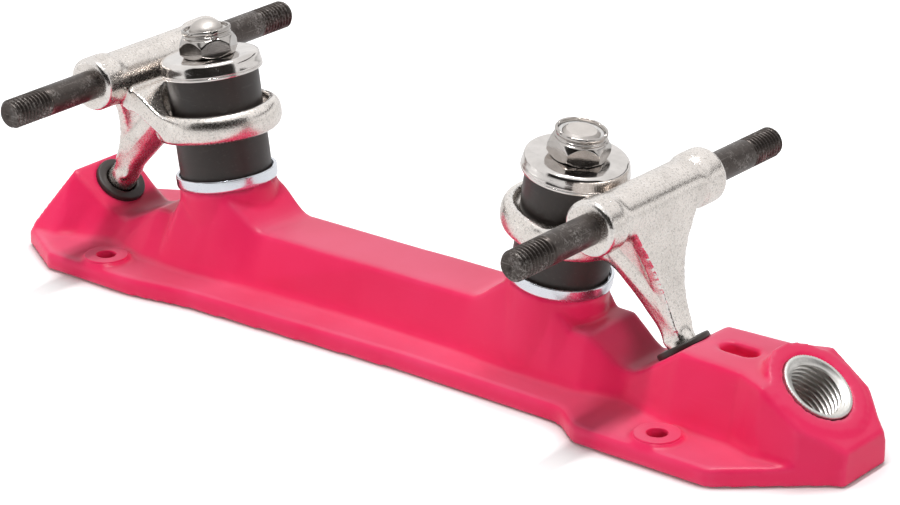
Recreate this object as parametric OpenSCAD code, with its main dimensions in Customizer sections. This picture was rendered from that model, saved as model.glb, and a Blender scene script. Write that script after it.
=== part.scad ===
// Quad roller skate plate: a moulded nylon base that carries two cushioned steering trucks.
// It lies on its boot face, wheels up. The origin is on the boot face, midway between the axles.
// +X points to the toe, +Z points from the boot to the wheels.

/* [Plate] */
// Distance between the two axles
wheelbase = 168.5; // [164:0.5:180]
// Reach of the nose in front of the front axle
nose_reach = 66.5; // [65:0.25:70]
// Reach of the heel behind the rear axle
heel_reach = 29.75; // [29:0.25:34]
// Thickness of the flange that lies on the boot
flange_t = 5; // [4:0.25:6]
// Width of the flange at the toe
toe_flange_w = 61.4; // [60:0.2:66]
// Width of the flange at the heel
heel_flange_w = 62.8; // [62:0.2:68]
// Width of the flange at the waist
waist_w = 47.2; // [44:0.2:52]
// Width of the blunt nose
nose_w = 19; // [16:0.5:20]
// Width of the blunt heel
heel_w = 42; // [38:0.5:46]
// Mean height of the spine between the trucks
spine_z = 19.4; // [17:0.2:20.2]
// Width of the top of the spine
spine_w = 19; // [17:0.5:22]
// How far the foot of the spine stands out from its top, on each side
spine_draft = 3.4; // [2:0.1:4]
// Height of the flat toe deck
deck_z = 23; // [22:0.1:24]
// Height of the ridge over the heel
heel_ridge_z = 21.4; // [20:0.1:22]
// Height of the ledge in front of the front kingpin
front_ledge_z = 19.4; // [18:0.1:20]
// Height of the ledge behind the rear kingpin
rear_ledge_z = 17.2; // [16.6:0.1:18.4]
// Fillet where the walls rise from the flange
foot_fillet = 2.4; // [1:0.1:3]
// Rounding of the top edges
edge_round = 1.2; // [0.8:0.1:2.4]
// Wall round the hollow cells under the spine
cell_wall = 3.2; // [2:0.1:4]
// Thickness of the ribs between those cells
cell_rib = 3; // [2:0.1:4]

/* [Screw holes] */
// Diameter of the screw holes in the flange
screw_hole_d = 5.5; // [4.5:0.1:6]
// Width of the raised pads round them
pad_wall = 3.35; // [2.5:0.05:3.6]
// Height of the pads above the flange
pad_h = 1.4; // [0.8:0.1:2.5]
// Distance between the two front holes
front_hole_gap = 46.4; // [44:0.1:47]
// Distance between the two rear holes
rear_hole_gap = 48.8; // [46:0.1:49.4]
// Distance of the front holes in front of the front axle
front_hole_out = 21; // [19:0.25:24]
// Distance of the rear holes from the rear axle towards the middle
rear_hole_in = 3.5; // [2:0.25:8]

/* [Kingpins] */
// Diameter of the kingpin bolts
kingpin_d = 9.5; // [8:0.1:10]
// Lean of the kingpins towards the ends of the plate, in degrees
kingpin_lean = 9; // [8:0.5:12]
// Distance from the axle to the foot of the kingpin, along the plate
kingpin_back = 27.25; // [26.5:0.25:28]
// Mean height of the bosses under the kingpins' cup washers
boss_z = 27; // [26:0.1:27.5]
// How much the boss and the spine stand above their mean heights at the front, and below at the rear
front_lift = 0.5; // [0:0.1:0.8]
// Diameter of the top of the boss
boss_d = 26.8; // [26:0.2:28]
// Nylon between the bolt's head and the top of the boss
boss_grip = 12; // [10:0.5:14]
// Across flats of the bolt's head and of the lock nut
hex_af = 14.3; // [14.2:0.1:15]
// Height of the bolt's head
head_h = 6.2; // [5:0.1:7]
// Height of the lock nut's hexagon
nut_h = 5; // [4:0.1:6]
// Height of the round collar on the lock nut
collar_h = 2.5; // [2:0.1:3]
// Wall of that collar round the locking ring
collar_wall = 0.85; // [0.6:0.05:1]
// Thickness of the locking ring, measured outwards from the bolt
ring_t = 1.2; // [0.8:0.05:1.3]
// Turn of the front lock nut on its bolt, in degrees
front_nut_turn = 39; // [0:1:60]
// Turn of the rear lock nut on its bolt, in degrees
rear_nut_turn = 0; // [0:1:60]

/* [Cushions] */
// Diameter of the rubber cushions
bushing_d = 25.4; // [23:0.1:25.6]
// Length of the cushions; the lower ones also take up the bosses' difference in height
bushing_h = 14.8; // [13.5:0.1:15.4]
// Height of the lower cup washers
lower_cup_h = 3.6; // [2.6:0.1:4]
// Height of the upper cup washers
upper_cup_h = 4.6; // [3.6:0.1:5]
// Thickness of the washers' floor
cup_t = 1.5; // [1:0.1:1.8]
// Thickness of the lower washers' rim
lower_rim = 1; // [0.6:0.1:1.4]
// Thickness of the upper washers' rim
upper_rim = 1.1; // [0.6:0.1:1.2]

/* [Trucks] */
// Height of the axles above the boot face
axle_z = 55; // [54:0.1:56]
// Diameter of the axles where the wheels run
axle_d = 8; // [7:0.1:8]
// How much thicker the axles are inside the hangers, on each side
grip_step = 0.25; // [0.1:0.05:0.5]
// Length of the axles
axle_len = 110; // [100:1:124]
// Length of the hanger along the axle
hanger_len = 49.4; // [48:0.2:56]
// Wall of the hanger's tube round the axle
tube_wall = 2.4; // [2:0.1:2.6]
// How far the bosses at the ends stand out from the tube
tube_step = 0.75; // [0.5:0.05:1.2]
// Gap round the cushions in the eye's seats
seat_gap = 1.6; // [1.2:0.1:2]
// Wall of the eye round its seats
eye_wall = 3.2; // [2.8:0.1:3.8]
// Thickness of the eye's floor between the cushions
eye_web = 3; // [2.5:0.1:4]
// Height of the eye
eye_h = 8; // [7:0.1:9]
// Gap that lets the eye swing round the kingpin
swing_gap = 1.75; // [1.5:0.05:2.2]
// Thickness of the pivot arm's web at its foot
arm_web = 5.6; // [5:0.1:6.4]
// Thickness of that web at the tube
arm_web_root = 22; // [18:0.5:26]
// Thickness of the flange along the front of the pivot arm
arm_flange = 3.6; // [3:0.1:4.4]
// Width of that flange at the pivot
arm_tip_w = 7; // [6.6:0.1:8]
// Width of that flange at the tube
arm_root_w = 34; // [30:0.5:38]
// How far the lip along the back of the arm stands out from the web, on each side
lip_step = 0.9; // [0.5:0.1:1.4]

/* [Pivots] */
// Tilt of the pivot pins from the vertical, in degrees
pivot_lean = 36; // [35:0.5:37]
// Distance of the pin's round end beyond the axle
pivot_out = 15.55; // [15.2:0.05:16]
// Height of the centre of the pin's round end
pivot_z = 14.5; // [14:0.1:15]
// Rise of the front pivot face above that centre
front_rise = 5.1; // [4.7:0.1:5.4]
// Rise of the rear pivot face above that centre
rear_rise = 2.1; // [1.8:0.1:2.5]
// Diameter of the pin's round end
ball_d = 9.4; // [8.8:0.1:9.8]
// Diameter of the tapered pin at its round end
neck_d = 9; // [8.4:0.1:9.2]
// Wall of the rubber cup round the pin
cup_wall = 1.6; // [1.2:0.1:2]
// How far the rubber cup's flange stands out from its body
cup_lip = 1; // [0.8:0.1:1.6]
// Thickness of that flange
cup_flange_t = 1.6; // [1.2:0.1:2]

/* [Toe stop] */
// Lean of the toe-stop thread from the vertical, in degrees
toe_lean = 35; // [33:0.5:37]
// Distance of the threaded hole's mouth in front of the front axle
toe_out = 52.15; // [51.5:0.05:53]
// Height of that mouth
toe_z = 19.3; // [18.8:0.1:20]
// Width of the sloping toe face
toe_face_w = 32.6; // [31:0.2:33]
// Inner diameter of the thread for the toe stop
toe_thread_d = 13.5; // [12:0.1:14.5]
// Wall of the steel insert
insert_wall = 2.95; // [2.4:0.05:3.2]
// Length of the steel insert
insert_len = 15; // [12:0.5:15]
// Nylon wall of the boss round the insert
toe_wall = 4.3; // [4:0.1:5]
// Height of the boss above the toe face
toe_step = 0.5; // [0.3:0.1:0.8]
// Distance of the deck's slot in front of the front axle
slot_out = 29; // [28.5:0.25:30]
// Length of the oblong slot in the deck
slot_len = 10.8; // [8:0.2:11.4]
// Width of that slot
slot_w = 5.4; // [4:0.2:6.4]
// Depth of that slot
slot_depth = 4; // [2:0.5:5]

/* [Fits] */
// Radial clearance of pieces that sit in or round each other
fit_gap = 0.05; // [0.02:0.01:0.1]
// Clearance round the bolt heads and between cushions and cups
loose_gap = 0.3; // [0.2:0.05:0.4]

/* [Hidden] */
$fn = 64;
nylon = [0.91, 0.25, 0.40];
cast_metal = [0.78, 0.77, 0.76];
chrome = [0.84, 0.85, 0.87];
zinc = [0.80, 0.84, 0.90];
black_steel = [0.16, 0.15, 0.15];
black_rubber = [0.11, 0.10, 0.10];
pale_plastic = [0.75, 0.76, 0.78];
over = 1;

// Diameters that follow from a bore and its walls.
pad_d = screw_hole_d + 2 * pad_wall;
collar_d = kingpin_d + 2 * (ring_t + collar_wall);
seat_d = bushing_d + 2 * seat_gap;
eye_d = seat_d + 2 * eye_wall;
eye_hole_d = kingpin_d + 2 * swing_gap;
grip_d = axle_d + 2 * grip_step;
tube_d = grip_d + 2 * tube_wall;
tube_boss_d = tube_d + 2 * tube_step;
cup_body_r = ball_d / 2 + cup_wall;
cup_flange_r = cup_body_r + cup_lip;
insert_d = toe_thread_d + 2 * insert_wall;
toe_boss_d = insert_d + 2 * toe_wall;

// Places along the plate, for the front truck; the rear truck is the same turned half round.
axle_x = wheelbase / 2;
kingpin_x = axle_x - kingpin_back;
pivot_x = axle_x + pivot_out;
nose_x = axle_x + nose_reach;
heel_x = -axle_x - heel_reach;
front_hole_x = axle_x + front_hole_out;
rear_hole_x = rear_hole_in - axle_x;
toe_x = axle_x + toe_out;
slot_x = axle_x + slot_out;

// Heights along the kingpin, measured from the top of the boss.
lower_seat = cup_t + bushing_h;
upper_seat = lower_seat + eye_web;
eye_low = lower_seat + eye_web / 2 - eye_h / 2;
eye_top = eye_low + eye_h;
upper_cup = upper_seat + bushing_h + cup_t;
nut_top = upper_cup + nut_h;
tip_sink = 0.3;
bolt_top = nut_top + collar_h - tip_sink;

// The axle seen from the kingpin: distance off its line, and height along it.
axle_off = kingpin_back * cos(kingpin_lean) - (axle_z - boss_z) * sin(kingpin_lean);
axle_up = kingpin_back * sin(kingpin_lean) + (axle_z - boss_z) * cos(kingpin_lean);

// Smooth rise from one value to another along a line, and a round bend between two straights.
function ease(x0, v0, x1, v1, n = 8) =
  [for (i = [0:n]) [x0 + (x1 - x0) * i / n, v0 + (v1 - v0) * (1 - cos(180 * i / n)) / 2]];
function bend(a, b, c, n = 3) =
  [for (t = [0:1 / n:1]) a * (1 - t) * (1 - t) + b * 2 * t * (1 - t) + c * t * t];
function mirrored(table) = [for (i = [len(table) - 1:-1:0]) [-table[i][0], table[i][1]]];
function backwards(line) = [for (i = [len(line) - 1:-1:0]) line[i]];

// Side profile of the plate over one truck: the spine rises to the boss, drops to a ledge, sinks
// into a valley and climbs again as the tilted pivot face.
rise_len = 14.5;
rise_back = 22;
drop_out = 7;
drop_h = 2.5;
ledge_out = 11.4;
ledge_len = 5.6;
front_valley_lean = 36;
rear_valley_lean = 29;
valley_round = 4.5;
rise_foot = kingpin_x - rise_back;
rise_head = rise_foot + rise_len;
ledge_x = kingpin_x + ledge_out;
ledge_end = ledge_x + ledge_len;
function face_z(rise, x) = pivot_z + rise / cos(pivot_lean) + (x - pivot_x) * tan(pivot_lean);
function face_x(rise, z) = pivot_x + (z - face_z(rise, pivot_x)) / tan(pivot_lean);
function valley_x(rise, ledge_z, lean) =
  (ledge_z + ledge_end * tan(lean) - face_z(rise, 0)) / (tan(lean) + tan(pivot_lean));
function truck_top(rise, ledge_z, lean, lift) =
  let (x = valley_x(rise, ledge_z, lean))
  concat(ease(rise_foot, spine_z + lift, rise_head, boss_z + lift),
    [[kingpin_x + drop_out, boss_z + lift - drop_h], [ledge_x, ledge_z], [ledge_end, ledge_z]],
    bend([x - valley_round, face_z(rise, x) + valley_round * tan(lean)], [x, face_z(rise, x)],
      [x + valley_round, face_z(rise, x + valley_round)]));
front_valley_x = valley_x(front_rise, front_ledge_z, front_valley_lean);
rear_valley_x = valley_x(rear_rise, rear_ledge_z, rear_valley_lean);
deck_x = face_x(front_rise, deck_z);
heel_ridge_x = -face_x(rear_rise, heel_ridge_z);
toe_slope = tan(toe_lean);
toe_face_z = toe_z - toe_step / cos(toe_lean);
toe_edge_x = toe_x - (deck_z - toe_face_z) / toe_slope;
nose_z = toe_face_z - (nose_x - toe_x) * toe_slope;
heel_lip = 1;
top_z = concat(
  [[heel_x, flange_t + heel_lip], [heel_ridge_x, heel_ridge_z]],
  mirrored(truck_top(rear_rise, rear_ledge_z, rear_valley_lean, -front_lift)),
  truck_top(front_rise, front_ledge_z, front_valley_lean, front_lift),
  [[deck_x, deck_z], [toe_edge_x, deck_z], [nose_x, nose_z]]);

// Half width of that top, along the plate.
half_spine = spine_w / 2;
boss_spread = 1.6;
face_spread = 0.8;
deck_spread = 1.3;
toe_blend = 9;
nose_corner = 9.5;
function truck_top_w(valley) = [[rise_foot, half_spine], [rise_head, half_spine + boss_spread],
  [kingpin_x + drop_out, half_spine + boss_spread], [ledge_x, half_spine + face_spread],
  [ledge_end, half_spine + face_spread], [valley, half_spine - face_spread],
  [pivot_x, half_spine + face_spread]];
top_w = concat(
  [[heel_x, heel_w / 2 - heel_lip], [heel_ridge_x, half_spine + deck_spread]],
  mirrored(truck_top_w(rear_valley_x)), truck_top_w(front_valley_x),
  [[deck_x, half_spine + deck_spread], [toe_edge_x - toe_blend, half_spine + 2 * deck_spread],
   [toe_edge_x, toe_face_w / 2], [nose_x - nose_corner, toe_face_w / 2], [nose_x, nose_w / 2 - heel_lip]]);

// Half width of the foot of the walls: pinched at the valleys, broader under the rear truck.
half_foot = half_spine + spine_draft;
rear_spread = 5;
front_spread = 1.2;
heel_foot_in = 10.5;
toe_foot_out = 1.4;
pinch = 1.8;
foot_w = concat(
  [[heel_x, heel_w / 2], [heel_x + heel_reach / 3, heel_flange_w / 2 - heel_foot_in],
   [-pivot_x, half_foot + rear_spread], [-rear_valley_x, half_foot + pinch],
   [-ledge_end, half_foot + rear_spread], [-kingpin_x, half_foot + rear_spread],
   [-rise_foot, half_foot + rear_spread / 2], [0, half_foot]],
  [[rise_foot, half_foot], [rise_head, half_foot + front_spread], [ledge_end, half_foot + front_spread],
   [front_valley_x, half_foot - pinch], [deck_x, half_foot + 2 * front_spread],
   [toe_edge_x - toe_blend, half_foot + 2 * front_spread], [toe_edge_x, toe_face_w / 2 + toe_foot_out],
   [nose_x, toe_face_w / 2 + toe_foot_out]]);

// Half width of the flange, and the small bevel along its upper edge, which dies out at the nose.
heel_taper = 17.5;
heel_hold = 16;
waist_back = 3.6;
nose_taper = 25;
nose_round = 3;
rim = 1;
rim_end = 0.2;
outline_w = concat(
  [[heel_x, heel_w / 2], [heel_x + heel_taper, heel_flange_w / 2]],
  ease(-kingpin_x - heel_hold, heel_flange_w / 2, -kingpin_x + heel_hold, waist_w / 2 + waist_back, 6),
  [[kingpin_x - 2 * heel_hold, waist_w / 2]],
  ease(kingpin_x + heel_hold, waist_w / 2, axle_x + nose_round, toe_flange_w / 2, 6),
  [[nose_x - nose_taper - nose_round, toe_flange_w / 2], [nose_x - nose_taper, toe_flange_w / 2 - rim],
   [nose_x - nose_round, nose_w / 2 + nose_round / 2], [nose_x, nose_w / 2]]);
rim_w = [[nose_x - 2 * nose_corner, rim], [nose_x - nose_corner, rim_end]];

// Cross-section stations of the moulding: every place where one of those widths or heights turns.
function sorted(v) = len(v) < 2 ? v :
  let (m = v[floor(len(v) / 2)])
  concat(sorted([for (a = v) if (a < m) a]), [m], sorted([for (a = v) if (a > m) a]));
function spaced(v, gap) = [for (i = [0:len(v) - 1]) if (i == 0 || v[i] - v[i - 1] > gap) v[i]];
stations = spaced(sorted([for (t = [top_z, top_w, foot_w, outline_w, rim_w]) for (p = t) p[0]]), fit_gap);

// One side of a cross-section, from the boot face up to the middle of the top.
step = 0.1;
function half_section(x) =
  let (w = lookup(x, outline_w), bevel = lookup(x, rim_w), z = lookup(x, top_z))
  let (room = (z - flange_t) / 3)
  let (fillet = min(foot_fillet, room), round_r = min(edge_round, room))
  let (f = min(lookup(x, foot_w), w - bevel - step), t = min(lookup(x, top_w), f - step))
  let (foot = [f, flange_t], top = [t, z], up = (top - foot) / norm(top - foot))
  concat([[w, 0], [w, flange_t - bevel], [w - bevel, flange_t]],
    bend([min(f + fillet, w - bevel - step / 2), flange_t], foot, foot + up * fillet),
    bend(top - up * round_r, top, top - [round_r, 0]));
function section(x) =
  let (h = half_section(x))
  concat([for (p = h) [x, p[0], p[1]]], [for (p = backwards(h)) [x, -p[0], p[1]]]);

// The moulded body, lofted through its cross-sections.
module moulding() {
  rings = [for (x = stations) section(x)];
  n = len(rings[0]);
  m = len(rings);
  points = [for (r = rings) for (p = r) p];
  sides = [for (i = [0:m - 2]) for (j = [0:n - 1])
    let (a = i * n + j, b = i * n + (j + 1) % n)
    for (tri = [[a, a + n, b], [b, a + n, b + n]]) tri];
  heel_cap = [[for (j = [0:n - 1]) j]];
  nose_cap = [[for (j = [n - 1:-1:0]) (m - 1) * n + j]];
  polyhedron(points, concat(sides, heel_cap, nose_cap));
}

// Placing: at the rear truck everything is turned half round.
module truck_end(end) rotate([0, 0, end > 0 ? 0 : 180]) children();
module on_kingpin(s = 0) translate([kingpin_x, 0, boss_z]) rotate([0, kingpin_lean, 0])
  translate([0, 0, s]) children();
module on_pivot(u = 0) translate([pivot_x, 0, pivot_z]) rotate([0, -pivot_lean, 0])
  translate([0, 0, u]) children();
module on_toe(u = 0) translate([toe_x, 0, toe_z]) rotate([0, toe_lean, 0]) translate([0, 0, u]) children();
module on_axle() translate([axle_x, 0, axle_z]) rotate([90, 0, 0]) children();
module hexagon(af, h) cylinder(d = af / cos(30), h = h, $fn = 6);
module upright(w) translate([0, w / 2, 0]) rotate([90, 0, 0]) linear_extrude(w) children();

// Plate

boss_flare = 1;
module above_flange() intersection() {
  children();
  translate([-nose_x, -toe_flange_w, flange_t / 2]) cube([2 * nose_x, 2 * toe_flange_w, axle_z]);
}
module kingpin_boss(end) above_flange() on_kingpin(-boss_z)
  cylinder(d1 = boss_d + 2 * boss_flare, d2 = boss_d, h = boss_z + end * front_lift);
module toe_boss() above_flange() on_toe(-2 * insert_len) cylinder(d = toe_boss_d, h = 2 * insert_len);
module at_screw_holes() {
  for (side = [-1, 1]) {
    translate([front_hole_x, side * front_hole_gap / 2, 0]) children();
    translate([rear_hole_x, side * rear_hole_gap / 2, 0]) children();
  }
}
module kingpin_cut() {
  on_kingpin(-boss_z) cylinder(d = kingpin_d + 2 * fit_gap, h = boss_z + front_lift + over);
  on_kingpin(-2 * boss_z) hexagon(hex_af + 2 * loose_gap, 2 * boss_z - boss_grip);
}
module pivot_cut(rise) on_pivot(-cup_body_r - fit_gap)
  cylinder(r = cup_body_r + fit_gap, h = cup_body_r + fit_gap + rise + 2 * cup_flange_t);
module deck_slot() {
  span = slot_len - slot_w;
  translate([slot_x, 0, deck_z - slot_depth]) {
    for (side = [-1, 1]) translate([side * span / 2, 0, 0]) cylinder(d = slot_w, h = slot_depth + over);
    translate([-span / 2, -slot_w / 2, 0]) cube([span, slot_w, slot_depth + over]);
  }
}

// Cells under the spine, open to the boot side, with ribs across.
cell_w = spine_w - 2 * cell_wall;
cell_count = 2;
cell_len = (rise_foot - (cell_count - 0.5) * cell_rib) / cell_count;
module spine_cells() {
  for (side = [-1, 1]) for (i = [0:cell_count - 1])
    translate([side * (cell_rib + cell_len) * (i + 0.5), 0, (spine_z - cell_wall - over) / 2])
      cube([cell_len, cell_w, spine_z - cell_wall + over], center = true);
}

module plate() color(nylon) difference() {
  union() {
    moulding();
    for (end = [-1, 1]) truck_end(end) kingpin_boss(end);
    toe_boss();
    at_screw_holes() translate([0, 0, flange_t / 2]) cylinder(d = pad_d, h = flange_t / 2 + pad_h);
  }
  at_screw_holes() translate([0, 0, -over]) cylinder(d = screw_hole_d, h = flange_t + pad_h + 2 * over);
  for (end = [-1, 1]) truck_end(end) kingpin_cut();
  truck_end(1) pivot_cut(front_rise);
  truck_end(-1) pivot_cut(rear_rise);
  on_toe(-insert_len) cylinder(d = insert_d + 2 * fit_gap, h = 2 * insert_len);
  on_toe(-4 * insert_len) cylinder(d = toe_thread_d + 2 * loose_gap, h = 4 * insert_len);
  deck_slot();
  spine_cells();
}

// Steel bush for the toe stop's stem, pressed into the nose; its mouth is countersunk.
sink_h = 0.8;
sink_w = 0.8;
module toe_stop_insert() color(chrome) difference() {
  on_toe(-insert_len) cylinder(d = insert_d, h = insert_len + loose_gap);
  on_toe(-insert_len - over) cylinder(d = toe_thread_d, h = insert_len + 2 * over + loose_gap);
  on_toe(loose_gap - sink_h)
    cylinder(d1 = toe_thread_d, d2 = toe_thread_d + 2 * sink_w, h = sink_h + step / 10);
}

// Kingpin stack

tip_bevel = 0.8;
module kingpin_bolt(end) color(chrome) truck_end(end) {
  on_kingpin(-boss_grip - head_h) hexagon(hex_af, head_h);
  on_kingpin(-boss_grip - head_h / 2)
    cylinder(d = kingpin_d, h = boss_grip + head_h / 2 + bolt_top - tip_bevel);
  on_kingpin(bolt_top - tip_bevel) cylinder(d1 = kingpin_d, d2 = kingpin_d - 2 * tip_bevel, h = tip_bevel);
}

// Dished washer: a floor with a turned-up rim and a rounded outer corner.
cup_corner = 1.2;
cup_ease = 0.3;
module cup_washer(h, rim_t) {
  inner = bushing_d / 2 + loose_gap;
  r = inner + rim_t;
  bore = kingpin_d / 2 + fit_gap;
  rotate_extrude() polygon(concat([[bore, 0]],
    [for (a = [-90:15:0]) [r - cup_corner + cup_corner * cos(a), cup_corner + cup_corner * sin(a)]],
    [[r, h - cup_ease], [r - cup_ease, h], [inner, h], [inner, cup_t], [bore, cup_t]]));
}
module lower_cup_washer(end) color(zinc) truck_end(end) on_kingpin(end * front_lift)
  cup_washer(lower_cup_h, lower_rim);
module upper_cup_washer(end) color(chrome) truck_end(end) on_kingpin(upper_cup) rotate([180, 0, 0])
  cup_washer(upper_cup_h, upper_rim);

// Rubber cushion with slightly eased ends.
bushing_ease = 0.6;
module bushing(h) {
  r = bushing_d / 2;
  bore = kingpin_d / 2 + fit_gap;
  rotate_extrude() polygon([[bore, 0], [r - bushing_ease, 0], [r, bushing_ease],
    [r, h - bushing_ease], [r - bushing_ease, h], [bore, h]]);
}
module lower_bushing(end) color(black_rubber) truck_end(end) on_kingpin(cup_t + end * front_lift)
  bushing(bushing_h - end * front_lift);
module upper_bushing(end) color(black_rubber) truck_end(end) on_kingpin(upper_seat) bushing(bushing_h);

// Thin lock nut: a chamfered hexagon under a round collar that holds the locking ring.
ring_r = kingpin_d / 2 + ring_t;
ring_sink = 0.9;
nut_bevel = 1.2;
collar_round = 1;
module collar() {
  r = collar_d / 2 - collar_round;
  z = nut_h + collar_h - collar_round;
  rotate_extrude() polygon(concat([[0, 0], [collar_d / 2, 0]],
    [for (a = [0:15:90]) [r + collar_round * cos(a), z + collar_round * sin(a)]],
    [[0, nut_h + collar_h]]));
}
module lock_nut(end, turn) color(chrome) truck_end(end) on_kingpin(upper_cup) difference() {
  rotate([0, 0, turn]) union() {
    intersection() {
      hexagon(hex_af, nut_h);
      cylinder(d1 = hex_af + nut_bevel + 2 * nut_h, d2 = hex_af + nut_bevel, h = nut_h);
    }
    collar();
  }
  translate([0, 0, -over]) cylinder(r = kingpin_d / 2 + fit_gap, h = nut_h + collar_h + 2 * over);
  translate([0, 0, nut_h]) cylinder(r = ring_r, h = collar_h + over);
}
module lock_ring(end) color(pale_plastic) truck_end(end) on_kingpin(nut_top) difference() {
  cylinder(r = ring_r - fit_gap, h = collar_h - ring_sink);
  translate([0, 0, -over]) cylinder(r = kingpin_d / 2 + fit_gap, h = collar_h + 2 * over);
}

// Rubber cup for the pivot pin: a flange on the pivot face and a round socket in the plate.
// Its mouth widens so that the pin can tilt as it turns.
mouth_gap = 0.4;
module pivot_cup(end, rise) color(black_rubber) truck_end(end) difference() {
  top = rise + cup_flange_t;
  union() {
    on_pivot(rise) cylinder(r = cup_flange_r, h = cup_flange_t);
    on_pivot(-cup_body_r) cylinder(r = cup_body_r, h = cup_body_r + rise + cup_flange_t / 2);
  }
  on_pivot() sphere(d = ball_d + 2 * fit_gap);
  on_pivot() cylinder(d1 = ball_d + 2 * fit_gap, d2 = neck_d + 2 * mouth_gap, h = top + step / 10);
}

// Hanger

// The tube round the axle, flared into a boss at each end.
end_boss = 6;
end_flare = 3.5;
end_bevel = 0.8;
module hanger_tube() {
  mid = tube_d / 2;
  boss = tube_boss_d / 2;
  half = hanger_len / 2;
  side = concat(ease(half - end_boss - end_flare, mid, half - end_boss, boss, 5),
    [[half - end_bevel, boss], [half, boss - end_bevel]]);
  on_axle() rotate_extrude() polygon(concat([[0, -half]], [for (p = mirrored(side)) [p[1], p[0]]],
    [for (p = side) [p[1], p[0]]], [[0, half]]));
}

// The eye: a ring round the kingpin with rounded edges, still solid here.
eye_edge = 1.3;
module hanger_eye() {
  r = eye_d / 2 - eye_edge;
  on_kingpin() rotate_extrude() polygon(concat([[0, eye_low]],
    [for (a = [-90:30:0]) [r + eye_edge * cos(a), eye_low + eye_edge * (1 + sin(a))]],
    [for (a = [0:30:90]) [r + eye_edge * cos(a), eye_top - eye_edge * (1 - sin(a))]],
    [[0, eye_top]]));
}

// The strap that sweeps in an S from the eye up to the tube. It meets the tube low enough to swing
// clear of the upper cup washer.
strap_meet = 25;
strap_start = 3;
strap_under = 1.5;
strap_in = 0.5;
strap_sag = 2.4;
strap_join = 5.5;
module hanger_strap() on_kingpin() upright(eye_d - 2 * strap_in) polygon(concat(
  ease(strap_start, eye_top - step,
    axle_off - tube_d / 2 * cos(strap_meet), axle_up - tube_d / 2 * sin(strap_meet)),
  [[axle_off, axle_up], [axle_off, axle_up - tube_d / 2 + step]],
  mirrored(ease(-strap_under, eye_low + step, strap_join - axle_off, axle_up - tube_d / 2 - strap_sag)),
  [[0, eye_low + eye_edge], [0, eye_top - eye_edge]]));

// Seats for the two cushions, and the hole that lets the eye swing round the kingpin.
module hanger_seats() {
  on_kingpin(upper_seat) cylinder(d = seat_d, h = 2 * bushing_h);
  on_kingpin(lower_seat - bushing_h) cylinder(d = seat_d, h = bushing_h);
  on_kingpin(eye_low) cylinder(d = eye_hole_d, h = eye_h);
}

// The pivot arm: a web in the middle plane, a flange that narrows towards the pivot, and a lip
// along the inner edge. Its foot stands on the pivot pin.
arm_foot = 7.6;
arm_half = 2.7;
arm_lip = 2.6;
arm_inset = 0.3;
arm_drop = 2.5;
arm_bow = 18.2;
arm_narrowing = 2.6;
web_flare = 2;
arm_out = tube_d / 2 - arm_inset;
function on_pin(u, v) = [pivot_x - u * sin(pivot_lean) + v * cos(pivot_lean),
  pivot_z + u * cos(pivot_lean) + v * sin(pivot_lean)];
arm_outer = bend([axle_x + arm_out, axle_z - arm_drop], [axle_x + arm_out + step, axle_z - arm_bow],
  on_pin(arm_foot, arm_half), 8);
arm_root = [kingpin_x + eye_d / 2 - strap_under, boss_z + eye_low - step];
arm_inner = [arm_root, on_pin(arm_foot, -arm_half)];
arm_low = on_pin(arm_foot, -arm_half)[1];
function shifted(line, dx) = [for (p = line) [p[0] + dx, p[1]]];
function widening(foot_w, root_w, power) = [for (t = [0:0.1:1])
  [(foot_w + (root_w - foot_w) * pow(t, power)) / 2, arm_low + (axle_z - arm_low) * t]];
module widened(edge) intersection() {
  upright(arm_root_w) children();
  translate([axle_x - tube_d, 0, 0]) rotate([90, 0, 90]) linear_extrude(3 * tube_d)
    polygon(concat(edge, [for (p = backwards(edge)) [-p[0], p[1]]]));
}
module hanger_arm() {
  widened(widening(arm_web, arm_web_root, web_flare)) polygon(concat([[axle_x, axle_z]], arm_outer,
    backwards(arm_inner), [[arm_root[0], arm_root[1] + eye_h / 2]]));
  widened(widening(arm_tip_w, arm_root_w, arm_narrowing)) polygon(concat(
    [[axle_x, axle_z], [axle_x + arm_out, axle_z]], arm_outer, backwards(shifted(arm_outer, -arm_flange))));
  widened(widening(arm_web + 2 * lip_step, arm_web_root + 2 * lip_step, web_flare))
    polygon(concat(arm_inner, backwards(shifted(arm_inner, arm_lip))));
}

// The tapered pin at the arm's end, with the round tip that turns in the rubber cup.
neck_taper = 0.6;
module hanger_pin() {
  neck_end = neck_d - 2 * neck_taper;
  on_pivot() sphere(d = ball_d);
  on_pivot() cylinder(d1 = neck_d, d2 = neck_end, h = arm_foot);
  on_pivot(arm_foot - step) cylinder(d1 = neck_end, d2 = arm_web, h = arm_foot / 2);
}

module hanger(end) color(cast_metal) truck_end(end) difference() {
  union() {
    hanger_tube();
    hanger_eye();
    hanger_strap();
    hanger_arm();
    hanger_pin();
  }
  hanger_seats();
  on_axle() translate([0, 0, -hanger_len]) cylinder(d = grip_d + 2 * fit_gap, h = 2 * hanger_len);
}

// Axle: a thicker grip inside the hanger and a plain shank with an eased end on each side.
axle_bevel = 1;
axle_tip_step = 0.8;
module axle(end) color(black_steel) truck_end(end) on_axle() {
  translate([0, 0, -hanger_len / 2]) cylinder(d = grip_d, h = hanger_len);
  for (side = [0, 180]) rotate([side, 0, 0]) {
    cylinder(d = axle_d, h = axle_len / 2 - axle_bevel);
    translate([0, 0, axle_len / 2 - axle_bevel])
      cylinder(d1 = axle_d, d2 = axle_d - 2 * axle_tip_step, h = axle_bevel);
  }
}

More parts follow.
